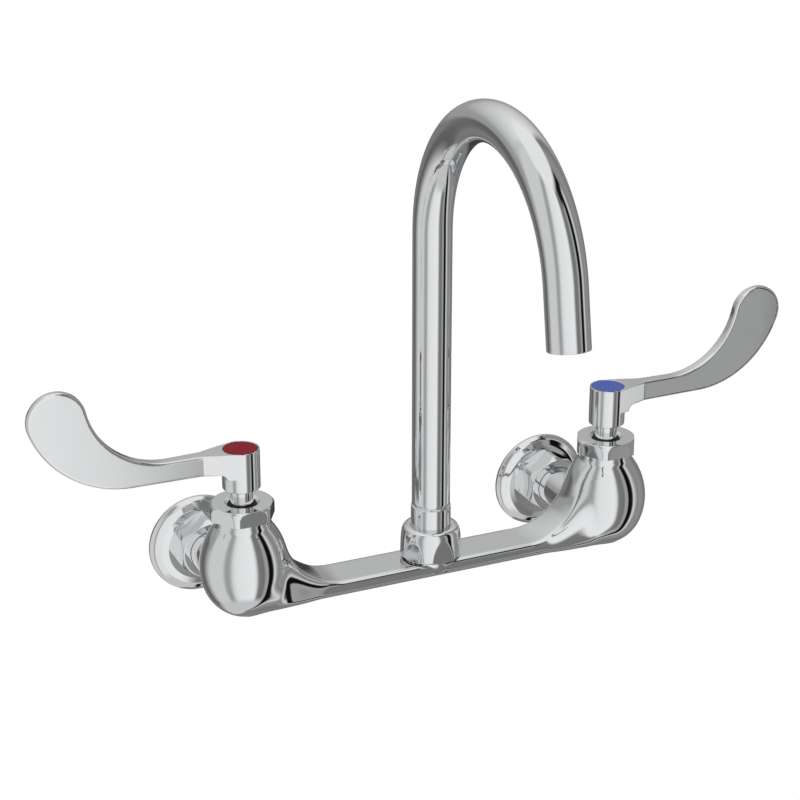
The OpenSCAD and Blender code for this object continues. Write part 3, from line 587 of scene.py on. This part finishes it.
def swung(profile, slopes, around=96, closed=True):
    """Swings a profile round Z. Returns points, faces and normals."""
    turn = np.linspace(0, 2 * math.pi, around, endpoint=False)
    c, s = np.cos(turn)[None], np.sin(turn)[None]
    def spin(rz):
        flat = [rz[:, :1] * c, rz[:, :1] * s, np.repeat(rz[:, 1:], around, 1)]
        return np.stack(flat, -1).reshape(-1, 3)
    rows = len(profile)
    faces = []
    for row in range(rows if closed else rows - 1):
        after = (row + 1) % rows
        if np.linalg.norm(profile[after] - profile[row]) > 1e-9:
            faces.append(band(row, after, around))
    return spin(profile), np.concatenate(faces), spin(slopes)

def ring_profile(corners, **options):
    """A closed profile: the list goes round counter-clockwise in (radius, height)."""
    points, normals = softened([corners[-1]] + list(corners) + [corners[0]], **options)
    return points[1:-1], normals[1:-1]

def put(place, points, faces, normals):
    """A skin moved to its place, with its faces turned round if the place mirrors it."""
    origin = place(np.zeros((1, 3)))
    if np.linalg.det(place(np.eye(3)) - origin) < 0:
        faces = faces[:, ::-1]
    return place(points), faces, place(normals) - origin

def turned(name, node, finish, place, corners, around=96):
    """A closed turned ring in place of a CAD node."""
    skin = swung(*ring_profile(corners), around)
    return dress(make_mesh(name, *put(place, *skin)), node, finish)

# %% [markdown]
# Six small pieces sit between the bonnet nuts and the tops of the blades: the bright stems,
# the black rings they glide in, and the coloured index buttons pressed flush into the hubs.
# Each black ring sits just under its nut's top, where its black also paints the shade in the
# gap round the stem: a real ring and painted shade at once.

# %% Stems, black rings and index buttons
BONNET_TOP = BONNET_Z + 7.6
STEM_FOOT, KEY_Z, KEY_R = FLOOR_Z + 8.5, FLOOR_Z + 11, 8.45
for name, side in SIDES.items():
    def here(points, side=side):
        return at_valve(side, points)
    turned(name + "_turned_stem", name + "_cartridge_stem", turned_chrome, here, [
        (2.15, HUB_Z + 3.6, 0), (0.0, HUB_Z + 3.6, 0), (0.0, STEM_FOOT, 0), (KEY_R, STEM_FOOT, 0.3),
        (KEY_R, KEY_Z, 0.3), (STEM_R, KEY_Z, 0), (STEM_R, BONNET_TOP - 2.2, 0.15),
        (STEM_R, HUB_Z + 0.6, 0.2), (4, HUB_Z + 0.6, 0), (4, HUB_Z + 12.4, 0.3),
        (2.15, HUB_Z + 12.4, 0)])
    # Painted shade: this black ring just under the nut's top also stands in for the shade in the gap round
    # the stem.
    turned(name + "_black_washer_and_painted_shade", name + "_glide_ring", FINISHES["black_acetal"], here, [
        (STEM_HOLE_R, BONNET_TOP - 1.8, 0), (6.95, BONNET_TOP - 1.8, 0),
        (6.95, BONNET_TOP - 0.4, 0.3), (STEM_HOLE_R, BONNET_TOP - 0.4, 0.15)])
    colour = FINISHES["red_index" if side < 0 else "blue_index"]
    turned(name + "_index_disc", name + "_index_button", colour, here, [
        (0.0, HUB_TOP - 2.9, 0), (4.55, HUB_TOP - 2.9, 0.2), (4.55, HUB_TOP - INDEX_T, 0),
        (INDEX_R, HUB_TOP - INDEX_T, 0.1), (INDEX_R, HUB_TOP - 0.02, 0.3), (0.0, HUB_TOP - 0.02, 0)])
print("stems, rings and buttons made")

# %% [markdown]
# The collar is the bright sleeve that the tube is silver-soldered into. It ends in a small
# step, which shows as a thin dark line round the tube.

# %% Collar
COLLAR_TOP, SOCKET_R = 33.7, 9.25
turned("turned_collar", "spout_collar", turned_chrome, at_spout, [
    (7, 2.5, 0.2), (COLLAR_R, 2.5, 0.4), (COLLAR_R, 15.8, 0), (9.4, 15.8, 0), (9.4, 17.4, 0),
    (COLLAR_R, 17.4, 0), (COLLAR_R, COLLAR_TOP, 0.35), (SOCKET_R, COLLAR_TOP, 0.1),
    (SOCKET_R, 20, 0), (7, 20, 0)], around=128)

# %% [markdown]
# The wall flanges are shallow domes. Their rim is rounded, and the slope rises in one easy
# curve to the flat face that the union nut seats against. The threaded stub inside the nut
# sits 4.3 mm higher than the pipe, which is how an installer evens out crooked pipes.

# %% Wall flanges
FLANGE_R, FACE_R, FACE_H, PIPE_R, STUB_R = 26.9, 18.0, 6.5, 9.6, 13.2
dome, dome_n = ring_profile([
    (PIPE_R, 0, 0.3), (FLANGE_R, 0, 0.4), (FLANGE_R, 1.9, 1.2), (25.2, 4, 4), (21.5, 5.9, 6),
    (FACE_R, FACE_H, 1.5), (PIPE_R, FACE_H, 0)], steps=8)
stub, stub_n = ring_profile([
    (INLET_BORE_R, 5.5, 0), (STUB_R, 5.5, 0), (STUB_R, 10.2, 0.4), (INLET_BORE_R, 10.2, 0.3)])
dome_points, dome_faces, dome_normals = swung(dome, dome_n, 128)
stub_points, stub_faces, stub_normals = swung(stub, stub_n, 96)
points = np.concatenate([dome_points, stub_points + [0, INLET_Z, 0]])
faces = np.concatenate([dome_faces, stub_faces + len(dome_points)])
normals = np.concatenate([dome_normals, stub_normals])
for name, side in SIDES.items():
    skin = put(lambda p: at_wall(side, p), points, faces, normals)
    dress(make_mesh(name + "_domed_flange", *skin), name + "_wall_flange", cast_chrome)
print("wall flanges made")

# %% [markdown]
# ## Hexagon nuts
# A nut is a hexagon bar turned down on a lathe, so its skin is the smaller of two radii:
# that of the hexagon and that of the turned outline. Where they cross, each flat
# ends in an arch and each corner in a narrow bright strip. A soft smaller leaves the tiny
# edge break that a real nut has.

# %% Nut
def wrapped_net(rows, around):
    """The faces of rows of points that each go round, with the last row joined to the first."""
    return np.concatenate([band(row, (row + 1) % rows, around) for row in range(rows)])

def nut_skin(corners, across_flats, first_flat, edge_soft=0.25, around=360):
    """A turned outline cut by a hexagon: points, faces and normals round Z."""
    profile, _ = ring_profile(corners, steps=4)
    dense = [profile[0]]
    for a, b in zip(profile, np.roll(profile, -1, 0)):
        steps = max(1, int(np.ceil(np.linalg.norm(b - a) / 0.5)))
        dense += [a + (b - a) * k / steps for k in range(1, steps + 1)]
    profile = np.array(dense[:-1])
    turn = np.linspace(0, 2 * math.pi, around, endpoint=False)
    off = (turn - math.radians(first_flat) + math.pi / 6) % (math.pi / 3) - math.pi / 6
    hexagon = across_flats / 2 / np.cos(off)
    r = profile[:, :1]
    gap = np.maximum(edge_soft - np.abs(r - hexagon), 0) / edge_soft
    radius = np.minimum(r, hexagon) - gap * gap * edge_soft / 4
    height = np.repeat(profile[:, 1:], around, 1)
    grid = np.stack([radius * np.cos(turn), radius * np.sin(turn), height], -1)
    along = np.roll(grid, -1, 0) - np.roll(grid, 1, 0)
    across = np.roll(grid, -1, 1) - np.roll(grid, 1, 1)
    normals = np.cross(across, along).reshape(-1, 3)
    normals /= np.maximum(np.linalg.norm(normals, axis=1), 1e-12)[:, None]
    return grid.reshape(-1, 3), wrapped_net(len(profile), around), normals

def nut(name, node, place, corners, across_flats, first_flat):
    """A hexagon nut in place of a CAD node."""
    skin = nut_skin(corners, across_flats, first_flat)
    return dress(make_mesh(name, *put(place, *skin)), node, turned_chrome)

# %% Bonnet nuts, union nuts and the spout nut
NUT_FLATS, SPOUT_NUT_FLATS = 29.8, 30.4
UNION_THREAD_R, UNION_HOLE_R, UNION_H = 13.25, 11.1, 16.0
BONNET_THREAD_R, BONNET_HOLE_R = 12.9, 7.0
SPOUT_THREAD_R, SPOUT_HOLE_R = 12.25, 10.28
for name, side in SIDES.items():
    nut(name + "_hex_bonnet", name + "_bonnet_nut", lambda p, side=side: at_valve(side, p), [
        (BONNET_THREAD_R, BONNET_Z, 0.2), (16.5, BONNET_Z, 0.4), (16.5, BONNET_TOP - 3.5, 2),
        (16, BONNET_TOP - 1.2, 1.5), (14.9, BONNET_TOP, 0.6), (8.85, BONNET_TOP, 0.3),
        (BONNET_HOLE_R, BONNET_TOP - 1, 0), (BONNET_HOLE_R, SEAT_Z + 2.5, 0),
        (BONNET_THREAD_R, SEAT_Z + 2.5, 0)], NUT_FLATS, 90)
    nut(name + "_hex_union", name + "_union_nut", lambda p, side=side: at_wall(side, p + [0, INLET_Z, 0]), [
        (UNION_THREAD_R, FACE_H, 0.2), (15.8, FACE_H, 0.5), (16.6, FACE_H + 1.6, 0.8),
        (16.6, FACE_H + 12.8, 2), (14.9, FACE_H + UNION_H, 0.6), (UNION_HOLE_R, FACE_H + UNION_H, 0.3),
        (UNION_HOLE_R, FACE_H + 12, 0), (UNION_THREAD_R, FACE_H + 12, 0)], NUT_FLATS, 0)
nut("domed_spout_nut", "spout_nut", at_spout, [
    (SPOUT_THREAD_R, BOSS_TOP, 0.2), (15.1, BOSS_TOP, 0.4), (16.3, BOSS_TOP + 1.2, 0.8),
    (16.3, BOSS_TOP + 2.5, 2), (16.1, BOSS_TOP + 5.7, 8), (15.6, BOSS_TOP + 9.5, 8),
    (15.2, BOSS_TOP + 11.7, 5), (14.8, BOSS_TOP + 13.7, 4), (13.9, BOSS_TOP + 15.6, 2),
    (12, BOSS_TOP + 16.3, 1.5), (SPOUT_HOLE_R, BOSS_TOP + 16.3, 0.3),
    (SPOUT_HOLE_R, BOSS_TOP + 11.6, 0), (SPOUT_THREAD_R, BOSS_TOP + 11.6, 0)], SPOUT_NUT_FLATS, 90)
print("nuts made")

# %% [markdown]
# ## The gooseneck
# The spout is one drawn brass tube, bent over a round former while filled, then cut square.
# It is a circle pushed up a straight, round a bend of nearly half a turn and down a short
# straight. The cut end is softened as a deburring tool leaves it.

# %% Gooseneck tube
TUBE_R, TUBE_BORE_R, FOOT_R = 9.75, 8.55, 9.2
BEND_R, BEND_Z, BEND, END = 67.1, 179.0, 170.4, 27.4
OUTER_LIP, INNER_LIP, IN_COLLAR, STEP = 0.35, 0.3, 13.0, 0.06

def centreline(s):
    """Place and direction on the tube's middle line, s millimetres above the collar's top."""
    rise, bend = BEND_Z - COLLAR_TOP, BEND_R * math.radians(BEND)
    a = np.clip((s - rise) / BEND_R, 0, math.radians(BEND))
    past = np.maximum(s - rise - bend, 0)
    direction = np.stack([0 * a, -np.sin(a), np.cos(a)], 1)
    y = -BEND_R * (1 - np.cos(a)) - past * np.sin(a)
    z = COLLAR_TOP + np.minimum(s, rise) + BEND_R * np.sin(a) + past * np.cos(a)
    return np.stack([0 * a, y, z], 1), direction

length = BEND_Z - COLLAR_TOP + BEND_R * math.radians(BEND) + END
stations = np.linspace(0, length, 150)
quarter = np.radians(np.linspace(0, 90, 6))
outer = [(FOOT_R, -IN_COLLAR), (FOOT_R, -STEP)] + [(TUBE_R, s) for s in stations[:-1]]
lip = [(TUBE_R - OUTER_LIP * (1 - math.cos(t)), length - OUTER_LIP * (1 - math.sin(t)))
       for t in quarter]
inner_lip = [(TUBE_BORE_R + INNER_LIP * (1 - math.sin(t)), length - INNER_LIP * (1 - math.cos(t)))
             for t in quarter]
inner = [(TUBE_BORE_R, s) for s in [*stations[-2::-1], -STEP, -IN_COLLAR]]
walls = np.array(outer + lip + inner_lip + inner)
middle, direction = centreline(walls[:, 1])
around = 128
turn = np.linspace(0, 2 * math.pi, around, endpoint=False)
across = np.array([1.0, 0, 0])
inward = np.cross(direction, across)
ring = np.cos(turn)[None, :, None] * across + np.sin(turn)[None, :, None] * inward[:, None]
points = (middle[:, None] + walls[:, 0][:, None, None] * ring).reshape(-1, 3)
faces = wrapped_net(len(walls), around)
dress(make_mesh("bent_gooseneck", at_spout(points), faces), "gooseneck_tube", tube_chrome)
print("tube line is", round(length, 1), "mm long")

# %% [markdown]
# ## The studio
# Polished metal is lit by what stands round it. The room is a white tent with grey and black
# cards hung upright in it, as a product photographer hangs them: a broad white side
# gives the long highlight, and a narrow black card beside it gives the dark line that makes
# chrome read as chrome. The camera and the soft light pass through the tent. Only mirrored
# rays see it.

# %% Tent with cards
# Each stop is an azimuth in degrees, which is 0 in front of the faucet and grows to the right,
# and the grey that chrome shows there.
CARDS = [(-180, 112), (-160, 118), (-150, 95), (-142, 92), (-133, 125), (-125, 160), (-112, 200),
         (-75, 200), (-66, 158), (-60, 150), (-54, 172), (-47, 210), (-38, 222), (3, 230), (8, 215),
         (12, 168), (15.5, 119), (29, 111), (33, 150), (41.4, 154), (42.3, 40), (43.2, 13), (54, 14),
         (56.5, 90), (58, 170), (62, 208), (67, 165), (76, 126), (86, 140), (100, 132), (112, 115),
         (150, 122)]
# Over the wall behind the faucet hangs a ceiling: height in degrees and grey.
CEILING = [(0, 145), (17, 150), (26, 176), (60, 215)]
BEHIND, CEILING_EDGE = (114, 124), (1, 7)
# One dark slot high on the right, a white top, a light floor on the left and a low dark card
# behind. Each fades in between two angles.
SLOT_LEFT, SLOT_RIGHT, SLOT_FOOT, SLOT_GREY = (28, 34), (74, 68), (46, 51), 20
TOP_EDGE, TOP_GREY = (59, 66), 226
LEFT_FLOOR_EDGE, LEFT_FLOOR_SIDE, LEFT_FLOOR_GREY = (-52, -62), (42, 30), 192
LOW_CARD, LOW_CARD_EDGE, LOW_CARD_GREY = (0.38, 0.849, -0.367), (66, 75), 58
MIRROR = 0.79
TENT_R, TENT_ROWS = 2600, 49

def level(grey):
    """The light that shows as this sRGB grey once chrome has mirrored it."""
    light = linear("#" + "%02X" % grey * 3)[0] / MIRROR
    return (light, light, light, 1)

def card_ramp(tree, share, stops):
    """A ramp of cards: places from 0 to 1, each with an sRGB grey."""
    ramp = add(tree, "ValToRGB", {"Fac": share})
    while len(ramp.color_ramp.elements) < len(stops):
        ramp.color_ramp.elements.new(0.5)
    for stop, (place, grey) in zip(ramp.color_ramp.elements, stops):
        stop.position = place
        stop.color = level(grey)
    return ramp.outputs["Color"]

def fade(tree, value, start, end):
    """Zero at start, one at end, and clamped beyond."""
    return add(tree, "MapRange", {"Value": value, "From Min": start, "From Max": end}).outputs["Result"]

def sine(degrees):
    return math.sin(math.radians(degrees))

def fade_up(tree, up, edge):
    """A fade between two heights in degrees."""
    return fade(tree, up, sine(edge[0]), sine(edge[1]))

def fade_round(tree, azimuth, edge):
    """A fade between two azimuths in degrees."""
    return fade(tree, azimuth, math.radians(edge[0]), math.radians(edge[1]))

def both(tree, first, second):
    return add(tree, "Math", {0: first, 1: second}, operation="MULTIPLY").outputs[0]

def hang(tree, room, where, colour):
    """The room with a card of this colour hung where the mask is one."""
    return add(tree, "MixRGB", {"Fac": where, "Color1": room, "Color2": colour}).outputs["Color"]

def tent_finish():
    finish = bpy.data.materials.new("studio_cards")
    finish.use_nodes = True
    tree = finish.node_tree
    tree.nodes.clear()
    place = add(tree, "TexCoord").outputs["Object"]
    way = add(tree, "VectorMath", {0: place}, operation="NORMALIZE").outputs[0]
    xyz = add(tree, "SeparateXYZ", {0: way})
    up = xyz.outputs["Z"]
    front = both(tree, xyz.outputs["Y"], -1.0)
    azimuth = add(tree, "Math", {0: xyz.outputs["X"], 1: front}, operation="ARCTAN2").outputs[0]
    aside = add(tree, "Math", {0: azimuth}, operation="ABSOLUTE").outputs[0]
    toward = add(tree, "VectorMath", {0: way, 1: LOW_CARD}, operation="DOT_PRODUCT").outputs["Value"]
    turn = fade(tree, azimuth, -math.pi, math.pi)
    room = card_ramp(tree, turn, [((a + 180) / 360, grey) for a, grey in CARDS])
    ceiling = card_ramp(tree, fade(tree, up, 0, 1), [(sine(a), grey) for a, grey in CEILING])
    over = both(tree, fade_round(tree, aside, BEHIND), fade_up(tree, up, CEILING_EDGE))
    room = hang(tree, room, over, ceiling)
    slot = both(tree, fade_round(tree, azimuth, SLOT_LEFT), fade_round(tree, azimuth, SLOT_RIGHT))
    slot = both(tree, slot, fade_up(tree, up, SLOT_FOOT))
    room = hang(tree, room, slot, level(SLOT_GREY))
    room = hang(tree, room, fade_up(tree, up, TOP_EDGE), level(TOP_GREY))
    floor = both(tree, fade_up(tree, up, LEFT_FLOOR_EDGE), fade_round(tree, azimuth, LEFT_FLOOR_SIDE))
    room = hang(tree, room, floor, level(LEFT_FLOOR_GREY))
    room = hang(tree, room, fade_up(tree, toward, LOW_CARD_EDGE), level(LOW_CARD_GREY))
    glow = add(tree, "Emission", {"Color": room, "Strength": 1.0})
    add(tree, "OutputMaterial", {"Surface": glow.outputs[0]})
    return finish

meridian = np.linspace(0, math.pi, TENT_ROWS)
half_circle = np.stack([TENT_R * np.sin(meridian), -TENT_R * np.cos(meridian)], 1)
tent_points, tent_faces, _ = swung(half_circle, np.zeros((TENT_ROWS, 2)), 96, closed=False)
tent = make_mesh("studio_tent", tent_points, tent_faces)
tent.data.materials.append(tent_finish())
tent.visible_camera = tent.visible_diffuse = tent.visible_shadow = tent.visible_transmission = False

# %% [markdown]
# The floor is a pale sweep well below the faucet, which shows as plain white. The world is
# white at strength one, so that colours come out as they are written.

# %% Floor and world
FLOOR, REACH = -1300, 9000
corners = [(x * REACH, y * REACH, FLOOR) for x, y in ((-1, -1), (1, -1), (1, 1), (-1, 1))]
floor = make_mesh("studio_floor", corners, [(0, 1, 2, 3)])
floor_finish = bpy.data.materials.new("pale_sweep")
floor_finish.use_nodes = True
tree = floor_finish.node_tree
tree.nodes.clear()
seen = add(tree, "LightPath")
matte = add(tree, "BsdfDiffuse", {"Color": linear("#F4F4F4")})
white = add(tree, "Emission", {"Color": (1, 1, 1, 1), "Strength": 1.0})
shown = add(tree, "MixShader", {0: seen.outputs["Is Camera Ray"], 1: matte.outputs[0], 2: white.outputs[0]})
add(tree, "OutputMaterial", {"Surface": shown.outputs[0]})
floor.data.materials.append(floor_finish)
floor.visible_glossy = False

world = bpy.data.worlds.new("white_room")
bpy.context.scene.world = world
world.use_nodes = True
world.node_tree.nodes["Background"].inputs["Color"].default_value = (1, 1, 1, 1)
world.node_tree.nodes["Background"].inputs["Strength"].default_value = 1.0
bpy.context.scene.view_settings.view_transform = "Standard"
print("tent, floor and world ready")

# %% [markdown]
# The camera stands where the photographer stood: left of the middle, a little above, with a long
# lens that keeps the two bulbs nearly the same size.

# %% Camera
CAMERA_PLACE = (-0.383886, -0.892573, 0.447862)
AZIMUTH, ELEVATION = math.radians(-24.128), math.radians(21.551)
LENS_MM, SENSOR_MM = 87.4386, 36
camera = bpy.data.objects.new("camera", bpy.data.cameras.new("camera"))
bpy.context.scene.collection.objects.link(camera)
camera.location = CAMERA_PLACE
camera.rotation_euler = (math.pi / 2 - ELEVATION, 0, AZIMUTH)
camera.data.lens = LENS_MM
camera.data.sensor_width = SENSOR_MM
camera.data.clip_start, camera.data.clip_end = 0.02, 60
bpy.context.scene.camera = camera
